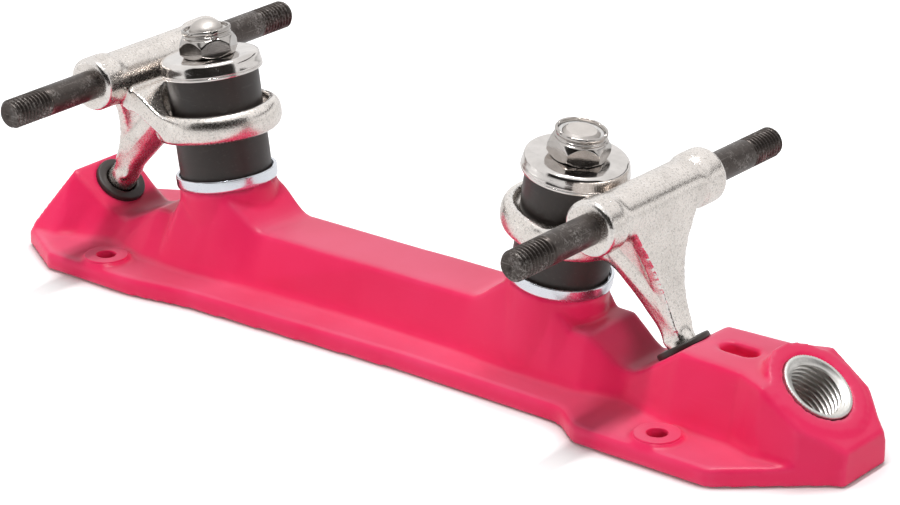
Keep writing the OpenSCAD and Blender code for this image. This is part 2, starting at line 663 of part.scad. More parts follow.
plate();
toe_stop_insert();
kingpin_bolt(1);  // front_kingpin_bolt
lower_cup_washer(1);  // front_lower_cup_washer
lower_bushing(1);  // front_lower_bushing
hanger(1);  // front_hanger
axle(1);  // front_axle
upper_bushing(1);  // front_upper_bushing
upper_cup_washer(1);  // front_upper_cup_washer
lock_nut(1, front_nut_turn);  // front_lock_nut
lock_ring(1);  // front_lock_ring
pivot_cup(1, front_rise);  // front_pivot_cup
kingpin_bolt(-1);  // rear_kingpin_bolt
lower_cup_washer(-1);  // rear_lower_cup_washer
lower_bushing(-1);  // rear_lower_bushing
hanger(-1);  // rear_hanger
axle(-1);  // rear_axle
upper_bushing(-1);  // rear_upper_bushing
upper_cup_washer(-1);  // rear_upper_cup_washer
lock_nut(-1, rear_nut_turn);  // rear_lock_nut
lock_ring(-1);  // rear_lock_ring
pivot_cup(-1, rear_rise);  // rear_pivot_cup
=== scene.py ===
import math

import bmesh
import bpy
import numpy as np
from mathutils import Matrix, Vector


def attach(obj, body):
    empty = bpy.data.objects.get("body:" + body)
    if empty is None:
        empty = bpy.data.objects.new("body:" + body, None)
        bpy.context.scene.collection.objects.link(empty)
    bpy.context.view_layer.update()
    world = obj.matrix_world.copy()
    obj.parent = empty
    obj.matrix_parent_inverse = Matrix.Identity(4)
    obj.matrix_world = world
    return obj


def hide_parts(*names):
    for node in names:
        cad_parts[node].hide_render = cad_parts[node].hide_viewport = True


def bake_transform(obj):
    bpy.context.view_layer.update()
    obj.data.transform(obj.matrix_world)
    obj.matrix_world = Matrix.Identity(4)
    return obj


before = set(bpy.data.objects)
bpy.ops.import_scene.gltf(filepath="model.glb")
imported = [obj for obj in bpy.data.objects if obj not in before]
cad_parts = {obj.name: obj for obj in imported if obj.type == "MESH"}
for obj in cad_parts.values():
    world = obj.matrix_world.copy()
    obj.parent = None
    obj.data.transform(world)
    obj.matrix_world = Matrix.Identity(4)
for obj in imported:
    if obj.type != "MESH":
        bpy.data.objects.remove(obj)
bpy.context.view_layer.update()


# Plate
# The base of the skate, one injection moulding of pink nylon with soft corners, so the piece is the solid
# remeshed finely and smoothed. The satin skin is paler on its edges, partly rubbed and partly a painted
# highlight, deeper in its hollows by painted shade, and pale on the faces that look up by a painted
# highlight.
def put(tree, kind, *values, props=None, **named):
    """Adds a node; a value that is a socket is linked, None is passed over, and any other is set."""
    node = tree.nodes.new(kind)
    for key, value in (props or {}).items():
        setattr(node, key, value)
    pairs = [(node.inputs[i], v) for i, v in enumerate(values) if v is not None]
    pairs += [(node.inputs[key.replace("_", " ")], v) for key, v in named.items()]
    for socket, value in pairs:
        if isinstance(value, bpy.types.NodeSocket):
            tree.links.new(value, socket)
        else:
            socket.default_value = value
    return node


def math_of(tree, operation, *values, clamp=False):
    return put(tree, "ShaderNodeMath", *values, props={"operation": operation, "use_clamp": clamp}).outputs[0]


def colour_mix(tree, factor, a, b):
    other_kinds = [None] * 5
    return put(tree, "ShaderNodeMix", factor, *other_kinds, a, b, props={"data_type": "RGBA"}).outputs[2]


def span(tree, value, low, high, to_low=0.0, to_high=1.0):
    """Maps value from low..high to to_low..to_high, held at both ends."""
    return put(tree, "ShaderNodeMapRange", value, low, high, to_low, to_high).outputs[0]


def grain_group():
    """Fine grain, slow cloudiness and thin scuff lines, all in object coordinates."""
    tree = bpy.data.node_groups.new("grain_and_scuffs", "ShaderNodeTree")
    for name in ("Fine", "Coarse", "Lines"):
        tree.interface.new_socket(name, in_out="INPUT", socket_type="NodeSocketFloat")
    for name in ("Grain", "Cloud", "Scuff"):
        tree.interface.new_socket(name, in_out="OUTPUT", socket_type="NodeSocketFloat")
    given = tree.nodes.new("NodeGroupInput").outputs
    result = tree.nodes.new("NodeGroupOutput")
    place = tree.nodes.new("ShaderNodeTexCoord").outputs["Object"]
    grain = put(tree, "ShaderNodeTexNoise", Vector=place, Scale=given["Fine"], Detail=3.0, Roughness=0.6)
    cloud = put(tree, "ShaderNodeTexNoise", Vector=place, Scale=given["Coarse"], Detail=4.0, Roughness=0.55)
    lines = []
    for turn, stretch in (((0.5, 0.2, 0.7), (1.0, 26.0, 26.0)), ((1.1, 0.9, -0.6), (30.0, 1.0, 30.0))):
        turned = put(tree, "ShaderNodeMapping", Vector=place, Rotation=turn, Scale=stretch)
        noise = put(tree, "ShaderNodeTexNoise", Vector=turned.outputs[0], Scale=given["Lines"], Detail=1.0)
        lines.append(span(tree, noise.outputs[0], 0.66, 0.74))
    scuff = math_of(tree, "MAXIMUM", *lines)
    for name, socket in (("Grain", grain.outputs[0]), ("Cloud", cloud.outputs[0]), ("Scuff", scuff)):
        tree.links.new(socket, result.inputs[name])
    return tree


grain_and_scuffs = grain_group()


def new_material(name, fine, coarse, lines):
    """A material with its shader and the three outputs of the grain group."""
    material = bpy.data.materials.new(name)
    material.use_nodes = True
    tree = material.node_tree
    effects = put(tree, "ShaderNodeGroup", props={"node_tree": grain_and_scuffs})
    for key, value in (("Fine", fine), ("Coarse", coarse), ("Lines", lines)):
        effects.inputs[key].default_value = value
    shader = tree.nodes["Principled BSDF"]
    return material, tree, shader, effects.outputs


def feed(tree, shader, **sockets):
    for key, value in sockets.items():
        tree.links.new(value, shader.inputs[key.replace("_", " ")])


def bump(tree, shader, height, strength, depth):
    node = put(tree, "ShaderNodeBump", Strength=strength, Distance=depth, Height=height)
    tree.links.new(node.outputs[0], shader.inputs["Normal"])


def plain_mesh(obj):
    """The object's evaluated mesh as a plain one; the object goes."""
    graph = bpy.context.evaluated_depsgraph_get()
    mesh = bpy.data.meshes.new_from_object(obj.evaluated_get(graph))
    bpy.data.objects.remove(obj)
    return mesh


# Bulges, in voxels, at which a hollow and an outer edge count in full
full_hollow, full_edge = 0.05, 0.07
hollow_spread, hollow_gain = 6, 2.5


def softened(node, voxel, passes, fillet=0, fill=None, eased=None, formed=None):
    """A CAD node's shape remeshed and smoothed, its inner corners filled by further passes. Keeps an
    attribute that is high on outer edges and low in hollows; fill adds solids before the remesh, eased weighs
    the points that further passes round, and formed moves points in the end."""
    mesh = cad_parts[node].data.copy()
    work = bmesh.new()
    work.from_mesh(mesh)
    bmesh.ops.remove_doubles(work, verts=work.verts, dist=1e-6)
    bmesh.ops.recalc_face_normals(work, faces=work.faces)
    if fill:
        fill(work)
    work.to_mesh(mesh)
    work.free()
    mesh.materials.clear()
    obj = bpy.data.objects.new(node + "_work", mesh)
    bpy.context.collection.objects.link(obj)
    remesh = obj.modifiers.new("remesh", "REMESH")
    remesh.mode, remesh.voxel_size = "VOXEL", voxel
    smooth = obj.modifiers.new("smooth", "SMOOTH")
    smooth.factor, smooth.iterations = 0.5, passes
    soft = plain_mesh(obj)
    count = len(soft.vertices)
    ends = np.zeros(len(soft.edges) * 2, int)
    soft.edges.foreach_get("vertices", ends)
    one, other = ends[0::2], ends[1::2]
    degree = np.maximum(np.bincount(ends, minlength=count), 1)

    def neighbours(values):
        if values.ndim > 1:
            return np.stack([neighbours(column) for column in values.T], 1)
        return (np.bincount(one, values[other], count) + np.bincount(other, values[one], count)) / degree

    def shape():
        co, normal = np.zeros(count * 3), np.zeros(count * 3)
        soft.vertices.foreach_get("co", co)
        soft.vertices.foreach_get("normal", normal)
        co, normal = co.reshape(-1, 3), normal.reshape(-1, 3)
        bulge = ((co - neighbours(co)) * normal).sum(1) / voxel
        for _ in range(2):
            bulge = 0.5 * bulge + 0.5 * neighbours(bulge)
        return co, bulge

    co, bulge = shape()
    if fillet:
        weight = np.clip(-bulge / full_hollow, 0, 1)
        for _ in range(hollow_spread):
            weight = neighbours(weight)
        weight = np.clip(weight * hollow_gain, 0, 0.5)[:, None]
        for _ in range(fillet):
            co = co + weight * (neighbours(co) - co)
        if eased:
            weight = eased(co)[:, None]
            for _ in range(3 * fillet):
                co = co + weight * (neighbours(co) - co)
        if formed:
            co = formed(co)
        soft.vertices.foreach_set("co", co.ravel())
        soft.update()
        co, bulge = shape()
    edge = soft.attributes.new("edge", "FLOAT", "POINT")
    edge.data.foreach_set("value", np.clip(bulge / full_edge, -1, 1))
    return soft


def add_piece(name, mesh, material, nodes, body=None):
    """Shows a finished mesh in place of its CAD nodes; it rides on body when one is given."""
    mesh.materials.clear()
    mesh.materials.append(material)
    mesh.polygons.foreach_set("use_smooth", np.ones(len(mesh.polygons), bool))
    mesh.update()
    obj = bpy.data.objects.new(name, mesh)
    bpy.context.collection.objects.link(obj)
    if body:
        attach(obj, body)
    if nodes:
        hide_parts(*nodes)
    return obj


deep_pink, light_pink = (0.81, 0.021, 0.101, 1), (0.83, 0.028, 0.119, 1)
rubbed_and_highlit_pink, hollow_shade_pink = (0.88, 0.15, 0.28, 1), (0.62, 0.010, 0.044, 1)
scuffed_pink, top_highlight_pink = (0.88, 0.26, 0.38, 1), (0.88, 0.40, 0.54, 1)
nylon, tree, shader, effects = new_material("pink_nylon", fine=2400, coarse=45, lines=70)
edge = put(tree, "ShaderNodeAttribute", props={"attribute_name": "edge"}).outputs["Fac"]
tone = colour_mix(tree, span(tree, effects["Cloud"], 0.3, 0.7), deep_pink, light_pink)
# Paler on the outer edges: partly rubbed wear, partly a painted highlight.
edge_wear_and_highlight = math_of(tree, "MULTIPLY", span(tree, edge, 0.25, 0.9), span(tree, effects["Cloud"], 0.35, 0.75))
tone = colour_mix(tree, math_of(tree, "MULTIPLY", edge_wear_and_highlight, 0.25), tone, rubbed_and_highlit_pink)
# Darker in the hollows: painted shade.
hollow_shade = math_of(tree, "MULTIPLY", span(tree, edge, -0.2, -0.9), 0.35)
tone = colour_mix(tree, hollow_shade, tone, hollow_shade_pink)
tone = colour_mix(tree, math_of(tree, "MULTIPLY", effects["Scuff"], 0.02), tone, scuffed_pink)
# Paler on the faces that look up: a painted highlight standing in for light from above.
facing = tree.nodes.new("ShaderNodeTexCoord").outputs["Normal"]
facing_up = span(tree, put(tree, "ShaderNodeSeparateXYZ", facing).outputs[2], 0.75, 0.98)
top_highlight = math_of(tree, "MULTIPLY", facing_up, span(tree, effects["Cloud"], 0.3, 0.7, 0.13, 0.19))
tone = colour_mix(tree, top_highlight, tone, top_highlight_pink)
rough = math_of(tree, "ADD", span(tree, effects["Cloud"], 0.2, 0.8, 0.30, 0.36),
                math_of(tree, "MULTIPLY", effects["Scuff"], 0.02))
feed(tree, shader, Base_Color=tone, Roughness=rough)
shader.inputs["Specular IOR Level"].default_value = 0.23
shader.inputs["Sheen Weight"].default_value = 0.12
shader.inputs["Sheen Roughness"].default_value = 0.35
shader.inputs["Sheen Tint"].default_value = (1.0, 0.78, 0.92, 1)
bump(tree, shader, effects["Grain"], strength=0.10, depth=0.00005)
plate_voxel, plate_passes = 0.00075, 4
add_piece("plate_moulding", softened("plate", plate_voxel, plate_passes), nylon, ["plate"], "base")


# Toe stop insert
# A threaded steel bush pressed into the sloping toe face. It is turned from bar: a knurled skirt that
# grips the nylon, a flat grained rim, a countersunk mouth and a coarse thread for the toe stop's stem.
pole = 0.0005


def lathe(profile, around=96, closed=True, shape=None):
    """Turns (radius, height) points, in mm, round Z; shape may bend each ring. Keeps how it was turned. A
    ring of the radius pole is so small that joined() makes it one point."""
    points = np.array(profile, float)
    theta = np.arange(around) * 2 * math.pi / around
    rings = []
    for r, z in points:
        radius, height = np.full(around, r), np.full(around, z)
        if shape:
            radius, height = shape(radius, height, theta)
        rings.append(np.stack([radius * np.cos(theta), radius * np.sin(theta), height], 1))
    verts = np.concatenate(rings) * 0.001
    n = len(points)
    faces = [(i * around + j, i * around + (j + 1) % around, ((i + 1) % n) * around + (j + 1) % around,
              ((i + 1) % n) * around + j) for i in range(n if closed else n - 1) for j in range(around)]
    mesh = bpy.data.meshes.new("turned")
    mesh.from_pydata(verts.tolist(), [], faces)
    turned = mesh.attributes.new("turned", "FLOAT_VECTOR", "POINT")
    marks = np.concatenate([np.stack([np.full(around, r), np.full(around, z), theta], 1) for r, z in points])
    turned.data.foreach_set("vector", marks.ravel())
    return mesh


def rounded(corners, steps=4):
    """Corner points (radius, height, rounding) to a profile with each corner rounded off."""
    profile = []
    for i, (r, z, size) in enumerate(corners):
        here = Vector((r, z))
        if not size:
            profile.append((r, z))
            continue
        back = Vector(corners[i - 1][:2]) - here
        on = Vector(corners[(i + 1) % len(corners)][:2]) - here
        a = here + back.normalized() * min(size, back.length * 0.48)
        b = here + on.normalized() * min(size, on.length * 0.48)
        for k in range(steps + 1):
            t = k / steps
            p = a * (1 - t) ** 2 + here * 2 * t * (1 - t) + b * t ** 2
            profile.append((p.x, p.y))
    return profile


def joined(parts):
    """Several meshes with their places as one, doubles merged and faces turned outward."""
    work = bmesh.new()
    for mesh, place in parts:
        mesh.transform(place)
        work.from_mesh(mesh)
        bpy.data.meshes.remove(mesh)
    bmesh.ops.remove_doubles(work, verts=work.verts, dist=2e-6)
    bmesh.ops.recalc_face_normals(work, faces=work.faces)
    mesh = bpy.data.meshes.new("joined")
    work.to_mesh(mesh)
    work.free()
    return mesh


def thread_tree():
    """A screw thread as a grid rolled into a tube whose radius follows the helix."""
    tree = bpy.data.node_groups.new("screw_thread", "GeometryNodeTree")
    for name, kind in (("Length", "Float"), ("Pitch", "Float"), ("Groove", "Float"), ("Crest", "Float"),
                       ("Runout", "Float"), ("Tip", "Float"), ("Around", "Int"), ("Along", "Int"),
                       ("Finish", "Material")):
        tree.interface.new_socket(name, in_out="INPUT", socket_type="NodeSocket" + kind)
    tree.interface.new_socket("Thread", in_out="OUTPUT", socket_type="NodeSocketGeometry")
    given = tree.nodes.new("NodeGroupInput").outputs
    result = tree.nodes.new("NodeGroupOutput")
    grid = put(tree, "GeometryNodeMeshGrid", 1.0, 1.0, given["Around"], given["Along"])
    at = put(tree, "ShaderNodeSeparateXYZ", tree.nodes.new("GeometryNodeInputPosition").outputs[0])
    u = math_of(tree, "ADD", at.outputs[0], 0.5)
    height = math_of(tree, "MULTIPLY", math_of(tree, "ADD", at.outputs[1], 0.5), given["Length"])
    turns = math_of(tree, "SUBTRACT", math_of(tree, "DIVIDE", height, given["Pitch"]), u)
    wave = math_of(tree, "PINGPONG", math_of(tree, "MULTIPLY", turns, 2.0), 1.0)
    crest_ends, groove_starts = 0.16, 0.80
    run_in = span(tree, math_of(tree, "DIVIDE", height, given["Runout"]), 0.0, 1.0)
    groove = math_of(tree, "MULTIPLY", span(tree, wave, crest_ends, groove_starts), run_in)
    deep = math_of(tree, "SUBTRACT", given["Groove"], given["Crest"])
    radius = math_of(tree, "ADD", given["Crest"], math_of(tree, "MULTIPLY", groove, deep))
    cone = math_of(tree, "ADD", given["Tip"], math_of(tree, "SUBTRACT", given["Length"], height))
    radius = math_of(tree, "MINIMUM", radius, cone)
    angle = math_of(tree, "MULTIPLY", u, 2 * math.pi)
    x = math_of(tree, "MULTIPLY", radius, math_of(tree, "COSINE", angle))
    y = math_of(tree, "MULTIPLY", radius, math_of(tree, "SINE", angle))
    spot = put(tree, "ShaderNodeCombineXYZ", x, y, height)
    moved = put(tree, "GeometryNodeSetPosition", Geometry=grid.outputs[0], Position=spot.outputs[0])
    welded = put(tree, "GeometryNodeMergeByDistance", Geometry=moved.outputs[0], Distance=2e-6)
    real = put(tree, "GeometryNodeRealizeInstances", welded.outputs[0])
    finished = put(tree, "GeometryNodeSetMaterial", Geometry=real.outputs[0], Material=given["Finish"])
    tree.links.new(finished.outputs[0], result.inputs[0])
    return tree


screw_thread = thread_tree()


def thread(**values):
    """A plain mesh of one thread, along +Z from its run-out at zero."""
    obj = bpy.data.objects.new("thread_work", bpy.data.meshes.new("thread_work"))
    bpy.context.collection.objects.link(obj)
    modifier = obj.modifiers.new("thread", "NODES")
    modifier.node_group = screw_thread
    for item in screw_thread.interface.items_tree:
        if item.in_out == "INPUT":
            modifier[item.identifier] = values[item.name]
    return plain_mesh(obj)


def turning_marks(tree, rings=9.0, spread=0.4):
    """Noise that runs round a turned piece in fine rings."""
    turned = put(tree, "ShaderNodeAttribute", props={"attribute_name": "turned"})
    stretched = put(tree, "ShaderNodeMapping", Vector=turned.outputs["Vector"], Scale=(rings, rings, spread))
    return put(tree, "ShaderNodeTexNoise", Vector=stretched.outputs[0], Scale=1.0, Detail=3.0).outputs[0]


bore_pale, bore_dark = (0.72, 0.70, 0.67, 1), (0.58, 0.56, 0.535, 1)
rim_dark, rim_pale = (0.52, 0.505, 0.485, 1), (0.80, 0.78, 0.755, 1)
rim_from, rim_full = 14.25, 14.45
insert_steel, tree, shader, effects = new_material("insert_steel", fine=1500, coarse=160, lines=60)
marks = turning_marks(tree)
tone = colour_mix(tree, span(tree, effects["Cloud"], 0.35, 0.7), bore_pale, bore_dark)
turned = put(tree, "ShaderNodeAttribute", props={"attribute_name": "turned"}).outputs["Vector"]
rim = span(tree, put(tree, "ShaderNodeSeparateXYZ", turned).outputs[1], rim_from, rim_full)
tone = colour_mix(tree, rim, tone, colour_mix(tree, effects["Grain"], rim_dark, rim_pale))
rough = math_of(tree, "ADD", span(tree, marks, 0.3, 0.7, 0.22, 0.36),
                math_of(tree, "MULTIPLY", effects["Grain"], 0.08))
rough = math_of(tree, "ADD", rough, math_of(tree, "MULTIPLY", rim, 0.16))
feed(tree, shader, Base_Color=tone, Roughness=rough)
shader.inputs["Metallic"].default_value = 1.0
bump(tree, shader, marks, strength=0.20, depth=0.00003)
toe_middle, toe_slope, insert_deep = (0.1364, 0, 0.0193), math.radians(35), 0.015
toe_place = (Matrix.Translation(toe_middle) @ Matrix.Rotation(toe_slope, 4, "Y")
             @ Matrix.Translation((0, 0, -insert_deep)))
insert_r, insert_top, bore_r, mouth_r, mouth_depth = 9.7, 15.3, 8.05, 8.75, 0.9
knurl_deep, knurl_count = 0.16, 72
bush_sides, bush_ends = 288, ((-0.001, 0.001), (0.0135, 0.0153))


def knurl(radius, height, theta):
    """Cuts fine ridges into the skirt's outer wall."""
    ridged = radius - knurl_deep * (0.5 + 0.5 * np.cos(knurl_count * theta))
    return np.where(radius > insert_r - 0.25, ridged, radius), height


def close_ends(mesh, sides, levels):
    """Joins the two open rings within each span of heights, the inner to the outer, point by point."""
    work = bmesh.new()
    work.from_mesh(mesh)
    for low, high in levels:
        rings = [v for v in work.verts if v.is_boundary and low < v.co.z < high]
        rings.sort(key=lambda v: (round(math.atan2(v.co.y, v.co.x) * sides / math.tau) % sides,
                                  v.co.xy.length))
        inner, outer = rings[0::2], rings[1::2]
        for k in range(sides):
            work.faces.new((inner[k - 1], inner[k], outer[k], outer[k - 1]))
    bmesh.ops.recalc_face_normals(work, faces=work.faces)
    work.to_mesh(mesh)
    work.free()


skirt = lathe(rounded([(bore_r, 0, 0), (insert_r, 0, 0.3), (insert_r, insert_top, 0.3),
                       (mouth_r, insert_top, 0.15), (bore_r, insert_top - mouth_depth, 0)]),
              bush_sides, False, knurl)
stem_thread = thread(Length=0.0144, Pitch=0.0015, Groove=0.00803, Crest=0.00722, Runout=0.0006, Tip=1.0,
                     Around=bush_sides + 1, Along=170, Finish=insert_steel)
bush = joined([(skirt, Matrix.Identity(4)), (stem_thread, Matrix.Identity(4))])
close_ends(bush, bush_sides, bush_ends)
bush.transform(toe_place)
add_piece("toe_insert", bush, insert_steel, ["toe_stop_insert"], "base")


# Screw pads
# Low round pads on the flange, moulded in one with the plate, that the boot's screws clamp. Each has a
# flat top, a crisp rim and a clean hole through to the boot.
pad_r, pad_top, screw_r, pad_deep = 6.08, 6.38, 2.7, 0.3
pad_places = (105.25, 23.2), (-80.75, 24.4)
pads = []
for x, y in pad_places:
    for side in (-1, 1):
        pad = lathe(rounded([(screw_r, pad_deep, 0), (pad_r, pad_deep, 0), (pad_r, pad_top, 0.4),
                             (screw_r, pad_top, 0.35)], 5))
        pads.append((pad, Matrix.Translation((x * 0.001, side * y * 0.001, 0))))
add_piece("screw_pads", joined(pads), nylon, ["plate"], "base")


# Kingpin bolts
# Hexagon-headed plated bolts that lean outwards through the bosses and carry the cushions. Only their tips
# show in the nuts, dull and finely marked: the front one is cut flat, the rear one has a domed end.
bolt_steel, tree, shader, effects = new_material("bolt_steel", fine=1800, coarse=240, lines=120)
tone = colour_mix(tree, effects["Cloud"], (0.46, 0.43, 0.405, 1), (0.64, 0.60, 0.57, 1))
feed(tree, shader, Base_Color=tone, Roughness=span(tree, effects["Grain"], 0.3, 0.7, 0.42, 0.60))
shader.inputs["Metallic"].default_value = 1.0
bump(tree, shader, effects["Grain"], strength=0.25, depth=0.00004)
for end in ("front", "rear"):
    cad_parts[end + "_kingpin_bolt"].data.materials.clear()
    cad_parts[end + "_kingpin_bolt"].data.materials.append(bolt_steel)
truck_turn = {"front": Matrix.Identity(4), "rear": Matrix.Rotation(math.pi, 4, "Z")}
kingpin_foot, kingpin_lean = (0.057, 0, 0.027), math.radians(9)
eye_low, eye_high, nut_seat = 16.3, 19.3, 35.6


def on_kingpin(end, height):
    """Placing on a kingpin, height in mm above the bosses' mean height."""
    return (truck_turn[end] @ Matrix.Translation(kingpin_foot) @ Matrix.Rotation(kingpin_lean, 4, "Y")
            @ Matrix.Translation((0, 0, height * 0.001)))


dome_r, dome_foot, dome_h, dome_round = 4.68, 42.0, 3.5, 1.1
dome_arc = [(max(dome_r * math.cos(a) ** dome_round, pole), dome_foot + dome_h * math.sin(a))
            for a in np.linspace(0, math.pi / 2, 16)]
dome = lathe([(pole, dome_foot - 0.6), (dome_r, dome_foot - 0.6)] + dome_arc, 96, False)
add_piece("rear_bolt_dome", joined([(dome, on_kingpin("rear", 0))]), bolt_steel, [], "base")


# Lower cup washers
# Dished washers stamped from steel sheet and zinc plated, a little bluish, that hold the lower cushions
# on the bosses. The rim is turned up and its edge is rounded by the press.
boss_rise = {"front": 0.5, "rear": -0.5}
cup_hole, cup_r, cup_inner_r, cup_floor, cup_h = 4.9, 14.0, 13.05, 1.5, 3.6
zinc, tree, shader, effects = new_material("zinc_plating", fine=1400, coarse=220, lines=90)
marks = turning_marks(tree, rings=5.0, spread=0.8)
tone = colour_mix(tree, effects["Cloud"], (0.70, 0.74, 0.80, 1), (0.82, 0.84, 0.88, 1))
rough = math_of(tree, "ADD", span(tree, marks, 0.3, 0.7, 0.14, 0.26),
                math_of(tree, "MULTIPLY", effects["Scuff"], 0.12))
feed(tree, shader, Base_Color=tone, Roughness=rough)
shader.inputs["Metallic"].default_value = 1.0
bump(tree, shader, marks, strength=0.12, depth=0.00003)
for end in ("front", "rear"):
    washer = lathe(rounded([(cup_hole, 0, 0.1), (cup_r, 0, 1.3), (cup_r, cup_h, 0.35),
                            (cup_inner_r, cup_h, 0.25), (cup_inner_r, cup_floor, 0.3),
                            (cup_hole, cup_floor, 0.1)], 6))
    add_piece(end + "_lower_cup", joined([(washer, on_kingpin(end, boss_rise[end]))]), zinc,
              [end + "_lower_cup_washer"], "base")


# Lower cushions
# Black rubber rings under the trucks' eyes, moulded with a satin skin and pressed between the lower cup
# and the eye.
black, worn_black, scuffed = (0.024, 0.018, 0.016, 1), (0.038, 0.030, 0.027, 1), (0.10, 0.09, 0.085, 1)
rubber, tree, shader, effects = new_material("black_rubber", fine=2000, coarse=120, lines=45)
tone = colour_mix(tree, span(tree, effects["Cloud"], 0.3, 0.75), black, worn_black)
tone = colour_mix(tree, math_of(tree, "MULTIPLY", effects["Scuff"], 0.15), tone, scuffed)
feed(tree, shader, Base_Color=tone, Roughness=span(tree, effects["Cloud"], 0.25, 0.75, 0.36, 0.52))
bump(tree, shader, effects["Grain"], strength=0.15, depth=0.00005)
cushion_hole, cushion_r, cushion_bulge, cushion_ease = 4.85, 12.7, 0.12, 0.7


def cushion(length):
    """A turned ring with eased ends and barely bulging sides, cut into enough rings to bend."""
    foot = [(cushion_hole, 0), (11.6, 0), (12.2, 0.1), (12.5, 0.35)]
    sides = [(cushion_r - cushion_bulge * (2 * t - 1) ** 2, cushion_ease + (length - 2 * cushion_ease) * t)
             for t in np.linspace(0, 1, 15)]
    return lathe(foot + sides + [(r, length - z) for r, z in reversed(foot)])


def add_cushion(end, name, low, high):
    """Adds one cushion on the kingpin, from the height low to the height high."""
    mesh = joined([(cushion(high - low), on_kingpin(end, low))])
    obj = add_piece(end + name, mesh, rubber, [end + name + "_bushing"])
    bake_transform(obj)


for end in ("front", "rear"):
    add_cushion(end, "_lower", low=cup_floor + boss_rise[end], high=eye_low)


# Hangers
# The trucks' bodies, each one sand casting in light alloy: a tube for the axle, an eye round the kingpin,
# an I-shaped arm and the pin that turns in the plate. Tumbling has left them grainy, bright on the
# high spots, with every edge rounded; their hollows are darkened with painted shade.
cast_deep, cast_pale = (0.71, 0.66, 0.618, 1), (0.85, 0.792, 0.745, 1)
cast_glint, cast_pit = (0.93, 0.91, 0.89, 1), (0.34, 0.32, 0.305, 1)
cast_edge, cast_hollow_shade = (0.80, 0.78, 0.765, 1), (0.26, 0.24, 0.225, 1)
cast, tree, shader, effects = new_material("cast_alloy", fine=2300, coarse=150, lines=70)
edge = put(tree, "ShaderNodeAttribute", props={"attribute_name": "edge"}).outputs["Fac"]
rubbed, sunk_shade = span(tree, edge, 0.3, 1.0), span(tree, edge, -0.15, -0.9)
spot = tree.nodes.new("ShaderNodeTexCoord").outputs["Object"]
speck = put(tree, "ShaderNodeTexVoronoi", Vector=spot, Scale=2700.0)
sparkle = put(tree, "ShaderNodeSeparateColor", speck.outputs["Color"]).outputs[0]
tone = colour_mix(tree, span(tree, effects["Cloud"], 0.3, 0.7), cast_deep, cast_pale)
tone = colour_mix(tree, span(tree, sparkle, 0.70, 1.0, 0.0, 0.36), tone, cast_glint)
tone = colour_mix(tree, span(tree, sparkle, 0.28, 0.0, 0.0, 0.48), tone, cast_pit)
tone = colour_mix(tree, math_of(tree, "MULTIPLY", rubbed, 0.5), tone, cast_edge)
# Darker in the hollows: painted shade.
tone = colour_mix(tree, math_of(tree, "MULTIPLY", sunk_shade, 0.55), tone, cast_hollow_shade)
grit = math_of(tree, "ADD", effects["Grain"], math_of(tree, "MULTIPLY", sparkle, 0.35))
rough = math_of(tree, "SUBTRACT", span(tree, grit, 0.4, 1.0, 0.18, 0.31),
                math_of(tree, "MULTIPLY", rubbed, 0.08))
feed(tree, shader, Base_Color=tone, Roughness=rough)
shader.inputs["Metallic"].default_value = 1.0
relief = math_of(tree, "ADD", grit, math_of(tree, "MULTIPLY", effects["Cloud"], 1.6))
bump(tree, shader, relief, strength=0.30, depth=0.00009)
lip_root, lip_foot = np.array((0.0715, 0.0402)), np.array((0.09315, 0.01906))
lip_reach, lip_fade = 0.0058, 0.0024
web_half, web_flare, web_low, web_rise = 0.0028, 0.0082, 0.019, 0.036
web_lean, web_turn, web_deep = 0.0011, 0.0028, 0.0085


def along_arm(co):
    """Where points lie along the arm's inner edge, 0 at its root and 1 at its foot, and how far inside it."""
    along = lip_foot - lip_root
    length = np.linalg.norm(along)
    off = np.stack([np.abs(co[:, 0]), co[:, 2]], 1) - lip_root
    return off @ along / length ** 2, off @ np.array((-along[1], along[0])) / length


def arm_lip(co):
    """Weights for the lip along the arm's inner edge, which the casting has well rounded."""
    t, inside = along_arm(co)
    near = np.clip((lip_reach - np.abs(inside)) / lip_fade, 0, 1)
    return 0.5 * near * np.clip(np.minimum(t - 0.12, 0.96 - t) / 0.1, 0, 1)


def sloped_web(co):
    """Slopes the sides of the arm's inner lip and web, which the casting's draft turns towards the boss."""
    t, inside = along_arm(co)
    across = np.abs(co[:, 1])
    half = web_half + web_flare * np.clip((co[:, 2] - web_low) / web_rise, 0, 1) ** 1.6
    weight = np.clip(np.minimum((t + 0.02) / 0.16, (0.98 - t) / 0.5), 0, 1)
    weight *= np.clip((half + 0.0035 - across) / 0.002, 0, 1) * np.clip(across / 0.002, 0, 1)
    weight *= np.clip((web_deep - inside) / 0.0025, 0, 1) * (inside > -0.002)
    slope = web_lean * np.clip(inside / web_turn - 1, -1, 0.8)
    moved = co.copy()
    moved[:, 1] += np.sign(co[:, 1]) * slope * weight
    return moved


kingpin_line = np.array((math.sin(kingpin_lean), 0, math.cos(kingpin_lean)))
kingpin_side = np.array((math.cos(kingpin_lean), 0, -math.sin(kingpin_lean)))
eye_inner, eye_outer, eye_mid, eye_half = 0.0143, 0.0174, 0.0178, 0.0041
eye_reach, eye_thick, eye_round = 0.0185, 0.006, 2.3


